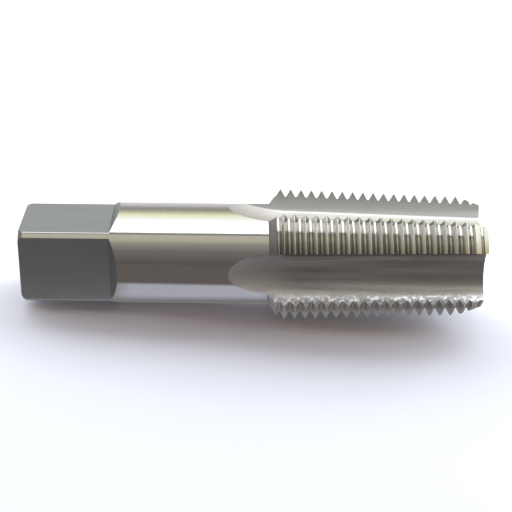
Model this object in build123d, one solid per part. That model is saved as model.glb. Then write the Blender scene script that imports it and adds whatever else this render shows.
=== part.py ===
"""Taper pipe tap, 1/2-14 size: one hardened and ground piece with a square drive,
a plain shank, four straight flutes and a 1:16 tapered right-hand thread.

Lengths are in millimetres. The tap is drawn along +X from the drive end (x = 0) to the cutting
end, then laid on its side the way it rests on a bench: on the shank near the square and on the
crests at the large end of the thread, so its axis rises a little towards the cutting end.
"""
import os
from math import atan2, cos, degrees, radians, sin, tan

from build123d import *

os.makedirs("parts", exist_ok=True)

# ---- driving dimensions -------------------------------------------------------------------
OVERALL_LENGTH = 79.375            # 3-1/8 in, drive end to cutting end

SHANK_DIAMETER = 17.463            # 11/16 in, ground
SQUARE_PER_SHANK = 0.75            # square across flats, as a share of the shank diameter
SQUARE_LENGTH = 15.3               # flat length measured on the corners
SHOULDER_ANGLE = 56.0              # slope at the inner end of each flat, from the axis
END_BREAK_AXIAL = 0.7              # break on the corners of the square at the drive end
END_BREAK_RADIAL = 0.45

THREADS_PER_INCH = 14
TAPER = 1 / 16                     # on diameter
LARGE_CREST_DIAMETER = 22.7        # over the crests at the large end of the thread
THREAD_START = 42.1                # where the back chamfer leaves the shank
BACK_CHAMFER_ANGLE = 52.0
LEAD_CHAMFER_ANGLE = 20.0
CREST_FLAT = 0.07
ROOT_FLAT = 0.28                   # ground root, wider than the crest
FIRST_CREST_OFFSET = 2.3           # first full crest after THREAD_START, on the reference edge

FLUTES = 4
FLUTE_SPAN = 52.84                 # degrees between a flute's edges on the crests at the large end
CORE_PER_CREST = 0.573             # core over the flute bottoms, as a share of the crest diameter
LOWEST_PER_SPAN = 0.21             # the lowest line lies this share of the span from mid flute
CUTTING_FACE_PER_DEPTH = 2.88      # flat, radial part of the cutting face, in thread depths
CUTTER_RADIUS = 19.5               # grinding wheel that leaves the curved run-out
FULL_DEPTH_OFFSET = 2.6            # flutes are full depth from here on, after THREAD_START

CENTRE_PER_SHANK = 0.25            # 60 degree centre at both ends, as a share of the shank
PILOT_DIAMETER = 1.9
PILOT_DEPTH = 5.0

# ---- sizes that follow from them ------------------------------------------------------------
PITCH = 25.4 / THREADS_PER_INCH
THREAD_DEPTH = (PITCH - CREST_FLAT - ROOT_FLAT) / 2 * tan(radians(60))
SHANK_R = SHANK_DIAMETER / 2
FLAT = SQUARE_PER_SHANK * SHANK_R                        # axis to flat
SHOULDER_END = SQUARE_LENGTH + (SHANK_R - FLAT) / tan(radians(SHOULDER_ANGLE))
LARGE_R = LARGE_CREST_DIAMETER / 2
FIRST_CREST = THREAD_START + FIRST_CREST_OFFSET
FULL_DEPTH = THREAD_START + FULL_DEPTH_OFFSET
END_CREST_R = LARGE_R - (OVERALL_LENGTH - FIRST_CREST) * TAPER / 2
END_R = END_CREST_R - 1.09 * THREAD_DEPTH                # lead chamfer at the end face
CONE_ANGLE = degrees(atan2(TAPER / 2, 1))
CORE_R = CORE_PER_CREST * LARGE_R

# angles about the axis, from a flute's centre line to its edges and across a land
SECTOR = 360 / FLUTES
FLUTE_HALF = FLUTE_SPAN / 2
LAND_HALF = SECTOR / 2 - FLUTE_HALF
REFERENCE_EDGE = 90 + SECTOR / 2 - LAND_HALF             # cutting edge of the upper back land


def around(angle, r, x=0.0):
    """Point at radius r; the angle runs from -Y (0) over +Z (90)."""
    return (x, -r * cos(radians(angle)), r * sin(radians(angle)))


# ---- thread form ----------------------------------------------------------------------------
def crest_place(angle):
    """Axial place of the first crest at this angle; a right-hand thread advances as it falls."""
    return FIRST_CREST - PITCH * (angle - REFERENCE_EDGE) / 360


def full_form(x, crest):
    """Radius of the whole thread form at x when one crest stands at x = crest."""
    off_crest = abs((x - crest + PITCH / 2) % PITCH - PITCH / 2)
    drop = max(off_crest - CREST_FLAT / 2, 0) * tan(radians(60))
    return LARGE_R - (x - FIRST_CREST) * TAPER / 2 - min(drop, THREAD_DEPTH)


def back_chamfer(x, crest=0):
    return SHANK_R + (x - THREAD_START) * tan(radians(BACK_CHAMFER_ANGLE))


def lead_chamfer(x, crest=0):
    return END_R + (OVERALL_LENGTH - x) * tan(radians(LEAD_CHAMFER_ANGLE))


def cut_form(x, crest):
    """Thread form cut back by the chamfers at both ends."""
    return min(full_form(x, crest), back_chamfer(x), lead_chamfer(x))


def meeting(a, b, crest, chamfer):
    """Place between a and b where the thread form crosses a chamfer."""
    gap_a = full_form(a, crest) - chamfer(a)
    for _ in range(40):
        mid = (a + b) / 2
        if (full_form(mid, crest) - chamfer(mid)) * gap_a > 0:
            a = mid
        else:
            b = mid
    return (a + b) / 2


def toothed_edge(crest):
    """Corner points (x, r) along the teeth of one land."""
    start, end = THREAD_START - 0.6, OVERALL_LENGTH + 0.8
    turns = range(-4, int((end - start) / PITCH) + 4)
    corners = {start, end}
    for n in turns:
        top, root = crest + n * PITCH, crest + (n + 0.5) * PITCH
        corners |= {top - CREST_FLAT / 2, top + CREST_FLAT / 2, root - ROOT_FLAT / 2, root + ROOT_FLAT / 2}
    corners = sorted(x for x in corners if start <= x <= end)
    places = set(corners)
    for a, b in zip(corners, corners[1:]):
        for chamfer in (back_chamfer, lead_chamfer):
            if (full_form(a, crest) - chamfer(a)) * (full_form(b, crest) - chamfer(b)) < 0:
                places.add(meeting(a, b, crest, chamfer))
    points = [(x, cut_form(x, crest)) for x in sorted(places)]
    kept = points[:1]
    for here, after in zip(points[1:], points[2:]):      # drop points on a straight run
        (x0, r0), (x1, r1), (x2, r2) = kept[-1], here, after
        if abs((x1 - x0) * (r2 - r0) - (r1 - r0) * (x2 - x0)) > 1e-4:
            kept.append(here)
    return kept + points[-1:]


def land(centre):
    """One toothed sector: the tooth outline screwed a part turn about the axis.

    It spans a little more than the land, and the flutes trim it.
    """
    half = min(LAND_HALF + 14, SECTOR / 2 - 8)
    start = centre + half
    inner = CORE_R - 1.5
    edge = toothed_edge(crest_place(start))
    ring = [(edge[0][0], inner)] + edge + [(edge[-1][0], inner)]
    outline = make_face(Polyline(*[around(start, r, x) for x, r in ring], close=True))
    at_start = Plane(origin=(THREAD_START, 0, 0), x_dir=around(start, 1), z_dir=(1, 0, 0))
    path = at_start * Helix(pitch=PITCH, height=PITCH * 2 * half / 360, radius=SHANK_R)
    return sweep(outline, path=path, is_frenet=True)


# ---- flutes, square and centres -------------------------------------------------------------
def flute(centre):
    """Space cut by the wheel: a straight pass that follows the taper, and its curved run-out."""
    out = Vector(*around(centre, 1))                     # section x: outwards
    side = Vector(*around(centre + 90, 1))               # section y: towards the cutting face
    edge = Vector(cos(radians(FLUTE_HALF)), sin(radians(FLUTE_HALF)))
    lowest = radians(LOWEST_PER_SPAN * FLUTE_SPAN)
    face_foot = edge * (LARGE_R - CUTTING_FACE_PER_DEPTH * THREAD_DEPTH)
    face_top = edge * (LARGE_R + 4)
    heel = Vector(edge.X, -edge.Y) * LARGE_R
    bottom_arc = ThreePointArc(face_foot, Vector(cos(lowest), -sin(lowest)) * CORE_R, heel)
    heel_top = heel + (bottom_arc % 1) * 4
    section = make_face([
        Line(face_top, face_foot), bottom_arc, Line(heel, heel_top), Line(heel_top, face_top)])
    section = Plane(origin=(FULL_DEPTH, 0, 0), x_dir=out, z_dir=out.cross(side)) * section
    straight = extrude(section, amount=OVERALL_LENGTH - FULL_DEPTH + 5, dir=(1, 0, 0))
    bottom = Vector(FULL_DEPTH, 0, 0) + out * CORE_R
    run_out = revolve(section, Axis(bottom + out * CUTTER_RADIUS, side), 58)
    return (straight + run_out).rotate(Axis(bottom, side), CONE_ANGLE)


def blank():
    """Turned blank: shank, tapered core under the thread and the break at the drive end."""
    below_roots = LARGE_R - THREAD_DEPTH - 0.5
    return revolve(make_face(Polyline(
        (0, 0), (0, SHANK_R - END_BREAK_RADIAL), (END_BREAK_AXIAL, SHANK_R),
        (THREAD_START + 0.3, SHANK_R), (THREAD_START + 1.5, min(below_roots, SHANK_R)),
        (OVERALL_LENGTH, END_R - 0.5), (OVERALL_LENGTH, 0), close=True)), Axis.X, 360)


def flat_cut(angle):
    """Metal milled away above one flat of the square, with its sloping inner end."""
    high = SHANK_R + 1
    slope_end = SQUARE_LENGTH + (high - FLAT) / tan(radians(SHOULDER_ANGLE))
    outline = make_face(Plane.XZ * Polyline(
        (-1, FLAT), (SQUARE_LENGTH, FLAT), (slope_end, high), (-1, high), close=True))
    return extrude(outline, amount=high, both=True).rotate(Axis.X, angle)


def centre_hole(x, inward):
    """60 degree centre with its pilot, entering at x."""
    r, pilot = CENTRE_PER_SHANK * SHANK_R, PILOT_DIAMETER / 2
    return revolve(make_face(Polyline(
        (x - inward, 0), (x - inward, r), (x, r), (x + inward * (r - pilot) / tan(radians(30)), pilot),
        (x + inward * PILOT_DEPTH, pilot), (x + inward * (PILOT_DEPTH + 0.6 * pilot), 0),
        close=True)), Axis.X, 360)


# ---- rest pose ------------------------------------------------------------------------------
def rest_tilt():
    """Rise of the axis when the tap lies on the shank behind the square and on the first crests."""
    low_edges = (-90 + FLUTE_HALF, -90 - FLUTE_HALF)
    rises = []
    for angle in low_edges:
        for n in range(-2, 4):
            x = crest_place(angle) % PITCH + (int(FIRST_CREST / PITCH) + n) * PITCH
            if x > THREAD_START:
                drop = cut_form(x, x) * cos(radians(FLUTE_HALF))
                rises.append(atan2(drop - SHANK_R, x - SHOULDER_END))
    return degrees(max(rises))


tap = blank()
for n in range(FLUTES):
    tap += land((n + 0.5) * SECTOR)
tap -= Pos(OVERALL_LENGTH + 5, 0, 0) * Box(10, 4 * LARGE_R, 4 * LARGE_R)
for n in range(FLUTES):
    tap -= flute(n * SECTOR)
for n in range(4):
    tap -= flat_cut(90 * n)
tap -= centre_hole(0, 1)
tap -= centre_hole(OVERALL_LENGTH, -1)

tap = tap.solids()[0].rotate(Axis.Y, -rest_tilt())
box = tap.bounding_box()
tap = Pos(-box.center().X, -box.center().Y, -box.min.Z) * tap
tap.label = "thread_tap"
export_step(tap, "parts/thread_tap.step")
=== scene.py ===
# %% [markdown]
# # A taper pipe tap in ground tool steel
#
# A tap cuts an internal thread. This one is a single piece of hardened steel: a square for the
# wrench, a ground shank, and a tapered thread that four straight flutes divide into lands. The solid
# arrives already shaped. The lesson here is how to give one piece of steel its different finishes:
# a grinder's rings on the shank, dull milled flats, wheel marks along the flutes and a ground thread.

# %% Load the solid
from math import atan2, cos, hypot, pi, radians, sin

import bpy
from mathutils import Matrix, Vector


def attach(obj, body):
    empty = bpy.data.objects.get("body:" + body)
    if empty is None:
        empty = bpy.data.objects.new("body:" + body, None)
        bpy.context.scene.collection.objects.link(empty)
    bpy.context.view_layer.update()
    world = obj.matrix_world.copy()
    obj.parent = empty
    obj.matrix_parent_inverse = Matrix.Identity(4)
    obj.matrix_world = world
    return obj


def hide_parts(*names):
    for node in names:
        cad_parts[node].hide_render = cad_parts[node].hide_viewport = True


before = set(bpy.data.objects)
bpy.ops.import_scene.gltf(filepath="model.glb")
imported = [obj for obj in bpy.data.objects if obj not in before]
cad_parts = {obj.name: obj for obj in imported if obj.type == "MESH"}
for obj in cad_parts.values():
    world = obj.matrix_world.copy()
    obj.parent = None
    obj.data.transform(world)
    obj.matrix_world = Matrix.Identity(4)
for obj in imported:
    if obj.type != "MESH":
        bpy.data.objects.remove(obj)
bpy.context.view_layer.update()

# %% [markdown]
# ## The tap's own axes
#
# The tap lies on the bench with its tip a little raised, so its axis is not a row axis. Every finish
# follows the tool's own axis, because that is how it was turned, ground and milled. One helper
# changes to the tool's axes: x runs in millimetres from the drive end, y and z across the tool.
# Another one measures how far such a place is from the axis.

# %% Axes of the tap
RISE = radians(2.8239)
DRIVE_END = Vector((-0.0396689, -0.0000078, 0.0079022))
TIP_END = (0.03961, -0.0000078, 0.0118128)
MM_PER_METRE = 1000
TAP_TO_ROW = Matrix.Rotation(-RISE, 3, "Y")
ROW_TO_TAP = TAP_TO_ROW.transposed()


def in_tap_axes(point):
    return ROW_TO_TAP @ (Vector(point) - DRIVE_END) * MM_PER_METRE


def from_axis(place):
    return hypot(place.y, place.z)


print("tip lies at", [round(v, 2) for v in in_tap_axes(TIP_END)])

# %% [markdown]
# ## One clean mesh to dress
#
# The solid arrives as loose triangles. A copy of it, merged at its corners, is one skin that can be
# shaded smoothly across the cylinder and the flutes and still break sharply at every tooth. The
# wide faces of the square are joined back into single faces, so that their edges can be rounded.


# %% Helpers: work on one piece, and select nothing on it
def only(piece):
    bpy.ops.object.select_all(action="DESELECT")
    piece.select_set(True)
    bpy.context.view_layer.objects.active = piece


def select_none(mode):
    bpy.ops.object.mode_set(mode="EDIT")
    bpy.ops.mesh.select_mode(type=mode)
    bpy.ops.mesh.select_all(action="DESELECT")
    bpy.ops.object.mode_set(mode="OBJECT")


# %% Merge the solid into a skin of its own
WELD = 1e-6

only(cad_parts["thread_tap"])
bpy.ops.object.duplicate()
tap = bpy.context.object
tap.name = tap.data.name = "ground_tap"
for key in [k for k in tap.keys() if k.startswith("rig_")]:
    del tap[key]  # these marks belong to the solid alone
tap.parent = None
tap.matrix_world = Matrix.Identity(4)
tap.data.materials.clear()

bpy.ops.object.mode_set(mode="EDIT")
bpy.ops.mesh.select_all(action="SELECT")
bpy.ops.mesh.remove_doubles(threshold=WELD)
bpy.ops.object.mode_set(mode="OBJECT")
print("skin", len(tap.data.vertices), "points", len(tap.data.polygons), "faces")

# %% Join the wide faces of the square
SQUARE_END = 17.0
ALMOST_FLAT = radians(0.3)

select_none("FACE")
for face in tap.data.polygons:
    face.select = in_tap_axes(face.center).x < SQUARE_END
bpy.ops.object.mode_set(mode="EDIT")
bpy.ops.mesh.dissolve_limited(angle_limit=ALMOST_FLAT)
bpy.ops.object.mode_set(mode="OBJECT")
print("joined to", len(tap.data.polygons), "faces")

# %% [markdown]
# ## Name every surface
#
# A machinist would name the surfaces of a tap by how each was cut. The same names decide three
# things here: where shading breaks, which finish a face gets, and its exact normal. They are told
# apart by place and by how far a face looks along, away from and around the axis. Each of these
# three runs from -1 to 1, where 1 looks straight that way.

# %% Sizes that tell the surfaces apart
LENGTH = 79.375
SHANK_R, CENTRE_R = 8.7315, 3
THREAD_START = 42.1
FIRST_CREST, FIRST_CREST_R = 44.4, 11.35
TAPER_PER_SIDE = 1 / 32
BACK_CHAMFER, LEAD_CHAMFER = radians(-52), radians(20)


def directions(place):
    """Unit vectors at a place: away from the axis, and around it."""
    r = max(from_axis(place), 1e-6)
    return Vector((0, place.y / r, place.z / r)), Vector((0, place.z / r, -place.y / r))


def crest_radius(x):
    return FIRST_CREST_R - (x - FIRST_CREST) * TAPER_PER_SIDE


print("crests shrink from", FIRST_CREST_R, "to", round(crest_radius(LENGTH), 2), "mm from the axis")

# %% Helper: surfaces of the thread
SAME_SLOPE = 0.03
BACK_CHAMFER_LENGTH = 4
FLANK_ALONG, FLANK_OUT = 0.82, (0.4, 0.6)
CREST_DEPTH, THREAD_DEPTH = 0.6, 1.6


def thread_surface(place, along, out, r):
    depth = crest_radius(place.x) - r
    if abs(along - sin(BACK_CHAMFER)) < SAME_SLOPE and place.x < THREAD_START + BACK_CHAMFER_LENGTH:
        return "back chamfer"
    if abs(along - sin(LEAD_CHAMFER)) < SAME_SLOPE and out > 0.9:
        return "lead chamfer"
    if abs(along) > FLANK_ALONG and FLANK_OUT[0] < out < FLANK_OUT[1]:
        return "leading flank" if along > 0 else "trailing flank"
    if out > 0.985 and depth < THREAD_DEPTH:
        return "crest" if depth < CREST_DEPTH else "root"
    return None


# %% Name each face by place and direction
END_SKIN, SHANK_SKIN = 0.05, 0.12
CONE_ALONG = (0.3, 0.7)
MIDDLE_OF_SQUARE = 10


def surface_of(place, normal):
    away, around = directions(place)
    along, out, turn = normal.x, normal.dot(away), normal.dot(around)
    r = from_axis(place)
    if min(place.x, LENGTH - place.x) < END_SKIN and abs(along) > 0.9:
        return "end"
    if r < CENTRE_R:
        return "centre" if CONE_ALONG[0] < abs(along) < CONE_ALONG[1] else "pilot"
    if place.x < SQUARE_END and max(abs(normal.y), abs(normal.z)) > 0.995:
        return "flat"
    if place.x < SQUARE_END and along < -0.3:
        return "shoulder" if place.x > MIDDLE_OF_SQUARE else "end break"
    found = thread_surface(place, along, out, r) if place.x > THREAD_START - 0.1 else None
    if found:
        return found
    if out > 0.98 and abs(r - SHANK_R) < SHANK_SKIN and place.x < THREAD_START + 1:
        return "shank"
    return "cutting face" if turn < -0.97 else "gullet"


surfaces = [surface_of(in_tap_axes(face.center), ROW_TO_TAP @ face.normal) for face in tap.data.polygons]
print("faces", {name: surfaces.count(name) for name in sorted(set(surfaces))})

# %% [markdown]
# ## Crisp teeth, soft corners
#
# Shading breaks wherever one named surface meets another, because a ground thread has no rounding to
# speak of. Only the square is handled and is given a small true rounding, which catches the light
# along its corners. A cutting face runs smoothly into its gullet, so that border stays soft.


# %% Helpers: the faces beside each edge, and edges chosen in code
def faces_beside(mesh):
    beside = {}
    for face in mesh.polygons:
        for key in face.edge_keys:
            beside.setdefault(key, []).append(face.index)
    return beside


def select_edges(piece, wanted):
    """Leaves exactly the edges selected for which wanted(ends in tap axes, two faces) is true."""
    select_none("EDGE")
    beside = faces_beside(piece.data)
    for edge in piece.data.edges:
        pair = beside[tuple(sorted(edge.vertices))]
        ends = [in_tap_axes(piece.data.vertices[v].co) for v in edge.vertices]
        edge.select = len(pair) == 2 and wanted(ends, pair)
    bpy.ops.object.mode_set(mode="EDIT")
    return sum(edge.select for edge in piece.data.edges)


# %% Keep the names on the faces, then break the shading between them
NAMES = sorted(set(surfaces))
named = tap.data.attributes.new("surface", "INT", "FACE")
named.data.foreach_set("value", [NAMES.index(name) for name in surfaces])
SOFT_BORDER = {"cutting face", "gullet"}


def on_a_border(ends, pair):
    both = {surfaces[f] for f in pair}
    return len(both) == 2 and both != SOFT_BORDER and min(p.x for p in ends) > SQUARE_END


only(tap)
borders = select_edges(tap, on_a_border)
bpy.ops.mesh.mark_sharp()
bpy.ops.object.mode_set(mode="OBJECT")
print("edges between surfaces", borders)

# %% Round the edges of the square
ROUNDING = 0.00008
ROUNDED_FROM = radians(22)
SHOULDER_SPARE = 0.3
CLEAR_OF_CENTRE = 4


def edge_of_square(ends, pair):
    turn = tap.data.polygons[pair[0]].normal.angle(tap.data.polygons[pair[1]].normal, 0)
    return turn > ROUNDED_FROM and all(
        p.x < SQUARE_END + SHOULDER_SPARE and from_axis(p) > CLEAR_OF_CENTRE for p in ends)


rounded = select_edges(tap, edge_of_square)
bpy.ops.mesh.bevel(offset=ROUNDING, segments=3, profile=0.5, clamp_overlap=True, affect="EDGES")
bpy.ops.object.mode_set(mode="OBJECT")
bpy.ops.object.shade_smooth_by_angle(angle=radians(30), keep_sharp_edges=True)
bpy.ops.object.modifier_add(type="WEIGHTED_NORMAL")
tap.modifiers[-1].keep_sharp = True
bpy.ops.object.modifier_apply(modifier=tap.modifiers[-1].name)
print("rounded", rounded, "edges, now", len(tap.data.polygons), "faces")

# %% [markdown]
# ## Exact normals for the ground surfaces
#
# Polished metal shows the smallest error in a normal. The shank and the chamfers are cones about
# the axis and the flanks are helicoids, so their normals are known exactly. Each corner gets the
# true one, which leaves the outline as it is and makes the reflections run straight.
#
# A cutting face is hollow ground: it tips towards its gullet, more and more down to its foot. The
# solid has it flat, and a hollow this shallow shows only in the reflection, so the normals give it.

# %% Normals from a surface's own formula
PITCH, FLANK = 25.4 / 14, radians(60)
HOOK, FACE_DEPTH = radians(15), 3.4
LEAN = {"shank": 0, "crest": TAPER_PER_SIDE, "root": TAPER_PER_SIDE,
        "back chamfer": BACK_CHAMFER, "lead chamfer": LEAD_CHAMFER}
FACING = {"leading flank": 1, "trailing flank": -1}


def true_normal(surface, place):
    away, around = directions(place)
    if surface == "cutting face":
        hook = HOOK * min((crest_radius(place.x) - from_axis(place)) / FACE_DEPTH, 1)
        return away * sin(hook) - around * cos(hook)
    if surface in LEAN:
        return Vector((sin(LEAN[surface]), 0, 0)) + away * cos(LEAN[surface])
    if surface in FACING:
        steep = sin(FLANK) * FACING[surface]
        helix = PITCH / (2 * pi * from_axis(place))
        return (Vector((steep, 0, 0)) + away * cos(FLANK) + around * steep * helix).normalized()
    return None


on_top = Vector((THREAD_START, 0, FIRST_CREST_R))
print("a flank looks", [round(v, 3) for v in true_normal("leading flank", on_top)])

# %% [markdown]
# ## Normals that stay on their own side
#
# The other surfaces have no simple formula. There a corner takes the average of the faces around it,
# weighted by area, but only of those with its own name. So no tooth bends the shine of the flute
# beside it. The cutting face and the gullet count as one surface, because they run into each other.

# %% Average each surface by itself
mesh = tap.data
face_names = [NAMES[item.value] for item in mesh.attributes["surface"].data]
ONE_SURFACE = {"cutting face": "flute", "gullet": "flute"}
own_normals = {}
for face, name in zip(mesh.polygons, face_names):
    for v in face.vertices:
        key = (v, ONE_SURFACE.get(name, name))
        own_normals[key] = own_normals.get(key, Vector()) + face.normal * face.area
print("normals", len(own_normals), "for", len(mesh.vertices), "points")

# %% Give every corner its normal
TRUSTED_WITHIN = radians(6)
face_edge = {v for face, name in zip(mesh.polygons, face_names) if name == "cutting face"
             for v in face.vertices}
corner_normals = [corner.vector.copy() for corner in mesh.corner_normals]
straightened = 0
for face, name in zip(mesh.polygons, face_names):
    middle = in_tap_axes(face.center)
    formula = true_normal(name, middle)
    spare = TRUSTED_WITHIN + (HOOK if name == "cutting face" else 0)
    trusted = formula is not None and (TAP_TO_ROW @ formula).angle(face.normal) < spare
    on_square = middle.x < SQUARE_END and from_axis(middle) > CENTRE_R
    straightened += trusted
    for corner in face.loop_indices:
        v = mesh.loops[corner].vertex_index
        if trusted or (name == "gullet" and v in face_edge):
            surface = name if trusted else "cutting face"
            corner_normals[corner] = TAP_TO_ROW @ true_normal(surface, in_tap_axes(mesh.vertices[v].co))
        elif not on_square:
            corner_normals[corner] = own_normals[(v, ONE_SURFACE.get(name, name))].normalized()
mesh.normals_split_custom_set(corner_normals)
print("faces with exact normals", straightened, "of", len(mesh.polygons))
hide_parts("thread_tap")
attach(tap, "root")

# %% [markdown]
# ## Patterns that run with the tool
#
# All finishes need the same facts about a point: how far it is along the tool, how far from the
# axis, and the direction around it. A Mapping node moves Object coordinates onto the tap's axis and
# turns metres into millimetres, so that noise sizes can be read as real sizes.


# %% Helper: an empty shader group
def new_group(name, ins, outs):
    """Ins are (name, kind, default) and outs are (name, kind)."""
    group = bpy.data.node_groups.new(name, "ShaderNodeTree")
    for label, kind, start in ins:
        socket = group.interface.new_socket(label, in_out="INPUT", socket_type="NodeSocket" + kind)
        if start is not None:
            socket.default_value = start
    for label, kind in outs:
        group.interface.new_socket(label, in_out="OUTPUT", socket_type="NodeSocket" + kind)
    return group


# %% Helper: nodes added from left to right
NODE_STEP = 190


class Wiring:
    """Adds nodes to a tree and joins them by socket name."""

    def __init__(self, tree):
        self.tree, self.step = tree, 0

    def add(self, kind, joins=None, **settings):
        node = self.tree.nodes.new(kind)
        node.location = (self.step * NODE_STEP, 0)
        self.step += 1
        for key, value in settings.items():
            setattr(node, key, value)
        for key, value in (joins or {}).items():
            if isinstance(value, bpy.types.NodeSocket):
                self.tree.links.new(value, node.inputs[key])
            else:
                node.inputs[key].default_value = value
        return node

    def math(self, operation, a, b=0.0, c=0.0, clamp=False):
        return self.add("ShaderNodeMath", {0: a, 1: b, 2: c}, operation=operation,
                        use_clamp=clamp).outputs[0]

    def noise(self, vector, scale, detail=3.0, roughness=0.5):
        return self.add("ShaderNodeTexNoise", {"Vector": vector, "Scale": scale, "Detail": detail,
                                               "Roughness": roughness}).outputs["Fac"]

    def stretch(self, vector, scale):
        return self.add("ShaderNodeMapping", {"Vector": vector, "Scale": scale}).outputs["Vector"]

    def ramp(self, value, low, high, to_low=0.0, to_high=1.0):
        return self.add("ShaderNodeMapRange", {"Value": value, "From Min": low, "From Max": high,
                                               "To Min": to_low, "To Max": to_high},
                        interpolation_type="SMOOTHSTEP").outputs["Result"]

    def blend(self, amount, a, b):
        """A Mix node's colours are its inputs 6 and 7, and the mixed colour is its output 2."""
        return self.add("ShaderNodeMix", {0: amount, 6: a, 7: b}, data_type="RGBA").outputs[2]


# %% Shader group: tool position
tool_position = new_group("Tool position", [],
                          [("Place", "Vector"), ("Unrolled", "Vector"), ("Under crest", "Float")])
w = Wiring(tool_position)
place = w.add("ShaderNodeTexCoord").outputs["Object"]
shift = in_tap_axes((0, 0, 0))
place = w.add("ShaderNodeMapping", {"Vector": place, "Location": shift, "Rotation": (0, RISE, 0),
                                    "Scale": (MM_PER_METRE,) * 3}).outputs["Vector"]
split = w.add("ShaderNodeSeparateXYZ", {"Vector": place})
across = w.add("ShaderNodeCombineXYZ", {"Y": split.outputs["Y"], "Z": split.outputs["Z"]}).outputs[0]
radius = w.add("ShaderNodeVectorMath", {0: across}, operation="LENGTH").outputs["Value"]
around = w.math("ARCTAN2", split.outputs["Z"], w.math("MULTIPLY", split.outputs["Y"], -1.0))
unrolled = w.add("ShaderNodeCombineXYZ", {"X": split.outputs["X"], "Z": radius,
                                          "Y": w.math("MULTIPLY", around, SHANK_R)}).outputs[0]
crest = w.math("MULTIPLY_ADD", split.outputs["X"], -TAPER_PER_SIDE,
               FIRST_CREST_R + FIRST_CREST * TAPER_PER_SIDE)
w.add("NodeGroupOutput", {"Place": place, "Unrolled": unrolled,
                          "Under crest": w.math("SUBTRACT", crest, radius)})
print("tool position shifts by", [round(v, 3) for v in shift])

# %% [markdown]
# ## Wheel marks and wear, built once
#
# A grinding wheel leaves very fine parallel lines. Noise that is stretched hard in one direction
# gives them: the stretch runs around the shank, but along the flutes. The lines bend reflections a
# little (a height) and change how bright the metal is (a tone). Handling leaves sparse scratches and
# faint prints: the scratches are brighter and the prints only dull the gloss.

# %% Shader group: wheel marks
wheel_marks = new_group("Wheel marks",
                        [("Vector", "Vector", None), ("Spacing", "Vector", (1, 1, 1)),
                         ("Waviness", "Float", 0.3)],
                        [("Height", "Float"), ("Tone", "Float")])
w = Wiring(wheel_marks)
asked = w.add("NodeGroupInput").outputs
lines = w.add("ShaderNodeVectorMath", {0: asked["Vector"], 1: asked["Spacing"]},
              operation="DIVIDE").outputs[0]
fine = w.noise(lines, scale=1.0, detail=4.0, roughness=0.65)
broad = w.noise(w.stretch(lines, (0.13, 0.13, 0.13)), scale=1.0, detail=2.0)
height = w.math("ADD", fine, w.math("MULTIPLY", broad, asked["Waviness"]))
tone = w.math("MULTIPLY_ADD", w.math("SUBTRACT", fine, 0.5), 0.6, broad)
w.add("NodeGroupOutput", {"Height": height, "Tone": tone})
print(wheel_marks.name, "has", len(wheel_marks.nodes), "nodes")

# %% Shader group: handling wear
handling = new_group("Handling wear",
                     [("Vector", "Vector", None), ("Scratches", "Float", 0.5), ("Prints", "Float", 0.5)],
                     [("Scratch", "Float"), ("Print", "Float")])
SCRATCH_TILTS = ((0.5, (0.35, 9, 9)), (-0.9, (0.5, 13, 13)), (1.45, (0.6, 11, 11)))
w = Wiring(handling)
asked = w.add("NodeGroupInput").outputs
scratch = 0.0
for tilt, scale in SCRATCH_TILTS:
    turned = w.add("ShaderNodeMapping", {"Vector": asked["Vector"], "Rotation": (tilt, tilt * 0.7, tilt),
                                         "Scale": scale}).outputs["Vector"]
    line = w.ramp(w.noise(turned, scale=0.9, detail=1.0), low=0.735, high=0.775)
    scratch = w.math("MAXIMUM", scratch, line)
scratch = w.math("MULTIPLY", scratch, asked["Scratches"])
prints = w.ramp(w.noise(asked["Vector"], scale=0.16, detail=4.0, roughness=0.6), low=0.42, high=0.72)
prints = w.math("MULTIPLY", prints, asked["Prints"])
w.add("NodeGroupOutput", {"Scratch": scratch, "Print": prints})
print(handling.name, "has", len(handling.nodes), "nodes")

# %% [markdown]
# ## What only some surfaces show
#
# The bottom of the thread is darkened with painted shade, for the light that its flanks shut out. The
# wheel that cut the flutes left a duller patch of its own tone where it ran out into the shank. The
# trailing edge of each land, its heel, has rubbed against chips and is nicked. Each effect needs only
# the place along the tool or the depth under the crests, so each is a few nodes over the finish
# instead of a finish of its own.

# %% Helpers: painted shade in the roots, the wheel's run-out and nicked heels
EFFECT_SHOWS = 0.8
# Painted shade: the thread gets a darker colour the deeper it lies under the crests.
ROOT_SHADE, ROOT_SHADE_FROM, ROOT_SHADE_TO = (0.49, 0.46, 0.425, 1), 0.3, 1.1
RUN_OUT_STEEL, RUN_OUT_END = (0.67, 0.635, 0.64, 1), 47
NICKED_STEEL, HEEL_FROM, HEEL_TO, NICKS_DULL = (0.3, 0.3, 0.31, 1), 0.4, 3.4, 0.3


# Painted shade in the thread's roots, blended in by depth under the crests.
def painted_root_shade(w, position, colour):
    depth = w.ramp(position["Under crest"], ROOT_SHADE_FROM, ROOT_SHADE_TO, 0.0, EFFECT_SHOWS)
    return w.blend(depth, colour, ROOT_SHADE)


def wheel_run_out(w, position, colour, rough, duller):
    along = w.add("ShaderNodeSeparateXYZ", {"Vector": position["Place"]}).outputs["X"]
    rough = w.math("ADD", rough, w.ramp(along, RUN_OUT_END - 7, RUN_OUT_END, duller, 0.0))
    own_tone = w.ramp(along, RUN_OUT_END - 6, RUN_OUT_END + 2, EFFECT_SHOWS, 0.0)
    return w.blend(own_tone, colour, RUN_OUT_STEEL), rough


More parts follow.
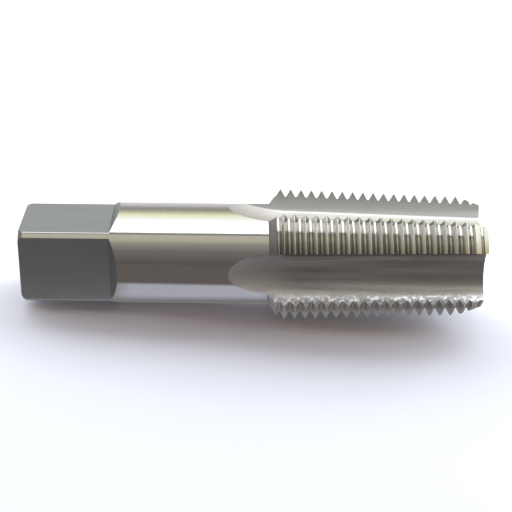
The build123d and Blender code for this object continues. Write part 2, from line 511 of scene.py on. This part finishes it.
def nicked_heel(w, position, colour, rough, amount):
    by_heel = w.ramp(position["Under crest"], HEEL_FROM, HEEL_TO, amount, 0.0)
    patches = w.ramp(w.noise(position["Place"], scale=1.7, detail=3.0, roughness=0.6), low=0.4, high=0.54)
    nicks = w.math("MULTIPLY", by_heel, patches)
    rough = w.math("ADD", rough, w.math("MULTIPLY", nicks, NICKS_DULL))
    return w.blend(w.math("MULTIPLY", nicks, EFFECT_SHOWS), colour, NICKED_STEEL), rough


# %% Helper: a steel finish made from those groups
BARE_STEEL = (0.8, 0.79, 0.77, 1)
SCRATCHES_SHOW, PRINTS_DULL = 0.5, 0.1


def steel(name, dark, light, gloss, spacing, unrolled=False, depth=0.002, waviness=0.3, scratches=0.3,
          prints=0.3, threaded=False, run_out=0.0, heel_wear=0.0):
    """Wheel marks are spaced in millimetres along, around and out of the tool, depth in millimetres."""
    material = bpy.data.materials.new(name)
    material.use_nodes = True
    w = Wiring(material.node_tree)
    w.tree.nodes.clear()
    position = w.add("ShaderNodeGroup", node_tree=tool_position).outputs
    marks = w.add("ShaderNodeGroup", {"Vector": position["Unrolled" if unrolled else "Place"],
                                      "Spacing": spacing, "Waviness": waviness},
                  node_tree=wheel_marks).outputs
    worn = w.add("ShaderNodeGroup", {"Vector": position["Place"], "Scratches": scratches,
                                     "Prints": prints}, node_tree=handling).outputs
    colour = w.blend(w.ramp(marks["Tone"], 0.25, 0.75), (*dark, 1), (*light, 1))
    colour = w.blend(w.math("MULTIPLY", worn["Scratch"], SCRATCHES_SHOW), colour, BARE_STEEL)
    if threaded:
        # painted shade towards the roots
        colour = painted_root_shade(w, position, colour)
    smooth, dull = gloss
    rough = w.math("ADD", w.ramp(marks["Tone"], 0.2, 0.8, dull, smooth),
                   w.math("MULTIPLY", worn["Print"], PRINTS_DULL))
    if run_out:
        colour, rough = wheel_run_out(w, position, colour, rough, run_out)
    if heel_wear:
        colour, rough = nicked_heel(w, position, colour, rough, heel_wear)
    bump = w.add("ShaderNodeBump", {"Height": marks["Height"], "Strength": 1.0,
                                    "Distance": depth / MM_PER_METRE})
    skin = w.add("ShaderNodeBsdfPrincipled", {"Base Color": colour, "Roughness": rough, "Metallic": 1.0,
                                              "Normal": bump.outputs["Normal"]})
    w.add("ShaderNodeOutputMaterial", {"Surface": skin.outputs[0]})
    print(name, "has", len(w.tree.nodes), "nodes")
    return material


# %% [markdown]
# ## Eight finishes on one piece of steel
#
# The shank is cylindrically ground, so its marks run around it. The flats of the square are milled
# and stay dull. The flutes carry long streaks from the form wheel, and their cutting faces are ground
# duller than the gullets. The thread is ground too, and its crests are rubbed; their light colour is
# also a painted highlight along each crest. The lead chamfer is ground, and its light yellowish colour
# is a painted reflection that makes it the brightest. The ends, the centres and the back chamfer are
# plainly turned.

# %% Finishes of the drive end
ground_shank = steel("ground shank", dark=(0.592, 0.587, 0.572), light=(0.608, 0.603, 0.588),
                     gloss=(0.06, 0.09), spacing=(0.14, 9, 14), unrolled=True, depth=0.00012,
                     scratches=0.4)
milled_square = steel("milled square", dark=(0.4, 0.425, 0.445), light=(0.43, 0.455, 0.475),
                      gloss=(0.47, 0.53), spacing=(1.2, 0.3, 0.3), depth=0.001, scratches=0.5)

# %% Finishes of the flutes
ALONG_THE_FLUTE = (11, 0.16, 0.16)
ground_face = steel("ground cutting face", dark=(0.47, 0.47, 0.475), light=(0.57, 0.57, 0.58),
                    gloss=(0.44, 0.54), spacing=ALONG_THE_FLUTE, depth=0.002, waviness=0.8, scratches=0.2)
ground_flute = steel("ground flute", dark=(0.42, 0.41, 0.41), light=(0.66, 0.65, 0.65),
                     gloss=(0.26, 0.38), spacing=ALONG_THE_FLUTE, depth=0.003, waviness=0.8,
                     scratches=0.2, run_out=0.3, heel_wear=1.0)

# %% Finishes of the thread and the ends
ground_thread = steel("ground thread", dark=(0.59, 0.6, 0.58), light=(0.75, 0.765, 0.74),
                      gloss=(0.1, 0.17), spacing=(0.5, 4, 0.5), unrolled=True, depth=0.001, threaded=True)
# Part real, part painted highlight: rubbed crests, made lighter and yellower for the light a crest's edge
# catches.
rubbed_crest_with_highlight = steel("rubbed crest with painted highlight", dark=(0.7, 0.68, 0.58), light=(0.84, 0.81, 0.7),
                     gloss=(0.5, 0.6), spacing=(0.5, 2, 0.5), unrolled=True, depth=0.001, scratches=0.0)
# Painted reflection: the lead chamfer's colour is lightened and yellowed for the bright reflection it
# shows.
lead_with_painted_sheen = steel("ground lead with painted sheen", dark=(0.78, 0.76, 0.64), light=(0.92, 0.9, 0.8),
                    gloss=(0.14, 0.22), spacing=(0.2, 5, 5), unrolled=True, depth=0.0006, scratches=0.2)
turned_end = steel("turned end", dark=(0.44, 0.435, 0.42), light=(0.55, 0.545, 0.53),
                   gloss=(0.28, 0.36), spacing=(3, 30, 0.15), unrolled=True, depth=0.001, scratches=0.5)

# %% Give each surface its finish
FINISH = {"shank": ground_shank, "flat": milled_square, "shoulder": milled_square,
          "cutting face": ground_face, "gullet": ground_flute, "root": ground_thread,
          "leading flank": ground_thread, "trailing flank": ground_thread, "crest": rubbed_crest_with_highlight,
          "lead chamfer": lead_with_painted_sheen, "back chamfer": turned_end, "end": turned_end,
          "end break": turned_end, "centre": turned_end, "pilot": turned_end}
SLOTS = list(dict.fromkeys(FINISH.values()))
for finish in SLOTS:
    mesh.materials.append(finish)
mesh.polygons.foreach_set("material_index", [SLOTS.index(FINISH[name]) for name in face_names])
mesh.attributes.remove(mesh.attributes["surface"])
print("finishes", [finish.name for finish in SLOTS])

# %% [markdown]
# ## The room that the steel shows
#
# Polished metal shows what is around it more than its own colour, so the room is painted for the
# metal. Its tones are laid over an arch, from 0 degrees at the front horizon over the top to 180 at
# the back: a dark side towards the viewer that makes the lower half deep, a warm band above it, a
# narrow dark gap, the bright strip overhead, then a yellowish fall to a dim wall and a pale horizon.
# The right side is brighter, and both far ends are dim, because the tool's end faces look that way.


# %% Helper: tones laid over the arch
def over_the_arch(w, turn_over, tones):
    """Tones are (degrees from the front horizon, colour)."""
    paint = w.add("ShaderNodeValToRGB", {"Fac": turn_over})
    elements = paint.color_ramp.elements
    while len(elements) < len(tones):
        elements.new(1.0)
    for element, (angle, colour) in zip(elements, tones):
        element.position = angle / 180
        element.color = (*colour, 1)
    return paint.outputs["Color"]


# %% The arch of tones
ROOM_TONES = [(0, (0.14, 0.13, 0.125)), (30, (0.25, 0.235, 0.22)), (48, (0.44, 0.42, 0.37)),
              (54, (0.66, 0.64, 0.52)), (67, (0.74, 0.71, 0.58)), (68.2, (0.32, 0.32, 0.31)),
              (72, (0.32, 0.32, 0.31)), (73, (0.98, 1.0, 1.02)), (104, (1.6, 1.67, 1.72)),
              (112, (1.47, 1.53, 1.4)), (118, (1.4, 1.42, 1.12)), (125, (1.2, 1.21, 0.86)),
              (133, (0.78, 0.77, 0.56)), (143, (0.46, 0.45, 0.38)), (148, (0.46, 0.45, 0.41)),
              (155, (0.52, 0.51, 0.5)), (163, (0.76, 0.72, 0.78)), (180, (0.92, 0.88, 0.95))]

room = bpy.data.worlds.new("soft room")
bpy.context.scene.world = room
room.use_nodes = True
room.cycles.sampling_method = "NONE"
w = Wiring(room.node_tree)
w.tree.nodes.clear()
look = w.add("ShaderNodeSeparateXYZ", {"Vector": w.add("ShaderNodeTexCoord").outputs["Generated"]})
height_angle = w.math("ARCTAN2", look.outputs["Z"], w.math("MULTIPLY", look.outputs["Y"], -1.0))
turn_over = w.math("DIVIDE", height_angle, pi, clamp=True)
tones = over_the_arch(w, turn_over, ROOM_TONES)
print("room tones", len(ROOM_TONES))

# %% The brighter right side and the dim ends
RIGHT_TONES = [(0, (0.4, 0.36, 0.33)), (45, (0.74, 0.7, 0.5)), (75, (1.1, 1.12, 1.13)),
               (150, (0.95, 1.0, 1.05)), (180, (0.95, 0.95, 1.0))]
END_TONES = [(0, (0.12, 0.12, 0.11)), (60, (0.22, 0.22, 0.19)), (100, (0.4, 0.41, 0.38)),
             (180, (0.36, 0.36, 0.37))]
RIGHT_SIDE, LEFT_END, RIGHT_END = (0.35, 0.75), (-0.5, -0.28), (0.74, 0.88)
sideways = look.outputs["X"]
right_tones = over_the_arch(w, turn_over, RIGHT_TONES)
tones = w.blend(w.ramp(sideways, *RIGHT_SIDE), tones, right_tones)
end_tones = over_the_arch(w, turn_over, END_TONES)
at_an_end = w.math("MAXIMUM", w.ramp(sideways, *LEFT_END, 1.0, 0.0), w.ramp(sideways, *RIGHT_END))
tones = w.blend(at_an_end, tones, end_tones)
print("right side", len(RIGHT_TONES), "tones, ends", len(END_TONES))

# %% [markdown]
# ## What the paper and the camera get
#
# The painted tones are only for reflections. Paper gets a weak warm light from the viewer's side and
# hardly any from behind, which colours the shadow and leaves the lit paper alone. The camera gets
# one pale tone. A Light Path node tells these rays apart.

# %% The room for paper and camera
AMBIENT = [(75.6, (0.305, 0.172, 0.1)), (90, (0.08, 0.08, 0.08))]
PALE = (0.985, 0.985, 0.99, 1)
ambient = over_the_arch(w, turn_over, AMBIENT)
rays = w.add("ShaderNodeLightPath").outputs
seen = w.blend(rays["Is Glossy Ray"], ambient, tones)
seen = w.blend(rays["Is Camera Ray"], seen, PALE)
w.add("ShaderNodeOutputWorld", {"Surface": w.add("ShaderNodeBackground", {"Color": seen}).outputs[0]})
print("room has", len(room.node_tree.nodes), "nodes")

# %% [markdown]
# ## A pale table
#
# The table is matte paper, cool in front and plain behind, that keeps the tool's soft shadow. The
# steel sees the same table at a very flat angle, where a real one would be dark under the tool and
# bright beyond it, so glossy rays get a painted version with those tones. Each pair of numbers below
# says where, in metres, one tone changes into the next. Far away the table fades into the pale of
# the background, which keeps every view plain.

# %% The table and its paper
COOL_PAPER, PLAIN_PAPER = (0.79, 0.86, 0.99, 1), (0.97, 0.97, 0.98, 1)
PLAIN_BEGINS = (-0.01, 0.03)

bpy.ops.object.select_all(action="DESELECT")
bpy.ops.mesh.primitive_plane_add(size=4.0, location=(0, 0, 0))
table = bpy.context.object
table.name = "table"
table_paint = bpy.data.materials.new("pale table")
table_paint.use_nodes = True
table_paint.cycles.emission_sampling = "NONE"
w = Wiring(table_paint.node_tree)
w.tree.nodes.clear()
spot = w.add("ShaderNodeTexCoord").outputs["Object"]
split = w.add("ShaderNodeSeparateXYZ", {"Vector": spot}).outputs
sideways, depth_in = split["X"], split["Y"]
paper = w.blend(w.ramp(depth_in, *PLAIN_BEGINS), COOL_PAPER, PLAIN_PAPER)
matte = w.add("ShaderNodeBsdfPrincipled", {"Base Color": paper, "Roughness": 0.9,
                                           "Specular IOR Level": 0.1})
print(table.name, "is", round(table.dimensions.x, 2), "m wide")

# %% The table as the steel sees it
IN_FRONT, CONTACT_SHADE, BEYOND = (0.178, 0.156, 0.15, 1), (0.25, 0.235, 0.24, 1), (0.85, 0.82, 0.9, 1)
UNDER_THREAD, UNDER_SHANK = (0.34, 0.315, 0.315, 1), (0.6, 0.61, 0.72, 1)
SHANK_BEGINS, SHANK_ENDS = (-0.026, -0.02), (0.001, 0.007)
TOOL_BEGINS, CONTACT_BEGINS, BEYOND_BEGINS = (-0.0165, -0.0135), (-0.0085, -0.004), (0.006, 0.02)

by_shank = w.math("MULTIPLY", w.ramp(sideways, *SHANK_BEGINS), w.ramp(sideways, *SHANK_ENDS, 1.0, 0.0))
under_tool = w.blend(by_shank, UNDER_THREAD, UNDER_SHANK)
near_mirror = w.blend(w.ramp(depth_in, *TOOL_BEGINS), IN_FRONT, under_tool)
near_mirror = w.blend(w.ramp(depth_in, *CONTACT_BEGINS), near_mirror, CONTACT_SHADE)
mirrored = w.blend(w.ramp(depth_in, *BEYOND_BEGINS), near_mirror, BEYOND)
mirror = w.add("ShaderNodeEmission", {"Color": mirrored})
rays = w.add("ShaderNodeLightPath").outputs
both = w.add("ShaderNodeMixShader", {0: rays["Is Glossy Ray"], 1: matte.outputs[0], 2: mirror.outputs[0]})
print("tones under the tool from", UNDER_THREAD[:3], "to", UNDER_SHANK[:3])

# %% Fade the far table into the background
FADE_FROM, FADE_TO = 0.09, 0.26
away = w.add("ShaderNodeVectorMath", {0: spot}, operation="LENGTH").outputs["Value"]
fading = w.math("MULTIPLY", w.ramp(away, FADE_FROM, FADE_TO), rays["Is Camera Ray"])
plain = w.add("ShaderNodeEmission", {"Color": PALE})
faded = w.add("ShaderNodeMixShader", {0: fading, 1: both.outputs[0], 2: plain.outputs[0]})
w.add("ShaderNodeOutputMaterial", {"Surface": faded.outputs[0]})
table.data.materials.append(table_paint)
print("table fades from", FADE_FROM, "to", FADE_TO, "m")

# %% [markdown]
# ## Softboxes
#
# One box overhead is for the steel alone and gives its long white highlight. Three boxes light only
# the paper: a large one behind throws the soft shadow forward, and one at each side keeps that
# shadow short at the tool's ends. With the work shared out in this way, the shadow can be tuned
# without changing the steel.


# %% Softboxes around the tool
def softbox(name, size, place, brightness, for_metal):
    """A size is (width, height); a brightness of 1 is white; the box is turned to face the tool."""
    bpy.ops.object.light_add(type="AREA", location=place)
    lamp = bpy.context.object
    lamp.name = name
    lamp.data.shape = "RECTANGLE"
    lamp.data.size, lamp.data.size_y = size
    lamp.data.energy = brightness * pi * size[0] * size[1]
    lamp.visible_glossy, lamp.visible_diffuse = for_metal, not for_metal
    lamp.rotation_euler = (-atan2(hypot(place[0], place[1]), place[2]), 0, atan2(-place[0], place[1]))
    print(name, "gives", round(lamp.data.energy, 2), "W")


softbox("overhead box", (0.5, 0.277), (0, -0.013, 0.5), brightness=1.75, for_metal=True)
softbox("back box", (0.8, 0.6), (0, 0.43, 0.4), brightness=2.7, for_metal=False)
softbox("left box", (0.4, 0.3), (-0.31, 0.11, 0.13), brightness=3.3, for_metal=False)
softbox("right box", (0.4, 0.3), (0.31, 0.11, 0.13), brightness=4.7, for_metal=False)

# %% [markdown]
# ## Camera
#
# The tap is seen from the side and from a little above, close enough for some perspective. The
# camera's three axes are set directly, because its small roll is easiest to say that way.

# %% The camera
CAMERA_PLACE = (-0.00758698, -0.18900564, 0.10601062)
RIGHT = Vector((0.99776449, -0.00920472, 0.06619138))
UP = Vector((-0.05475807, 0.45517423, 0.88871704))
FRAME_WIDTH = 512

bpy.ops.object.camera_add()
camera = bpy.context.object
camera.data.lens = 85.22
camera.data.sensor_width = 36
camera.data.clip_start = 0.01
camera.data.shift_y = -1.5 / FRAME_WIDTH
turned = Matrix((RIGHT, UP, RIGHT.cross(UP))).transposed().to_4x4()
camera.matrix_world = Matrix.Translation(CAMERA_PLACE) @ turned
bpy.context.scene.camera = camera
bpy.context.scene.view_settings.view_transform = "Standard"
print("camera is", round(Vector(CAMERA_PLACE).length, 3), "m away")
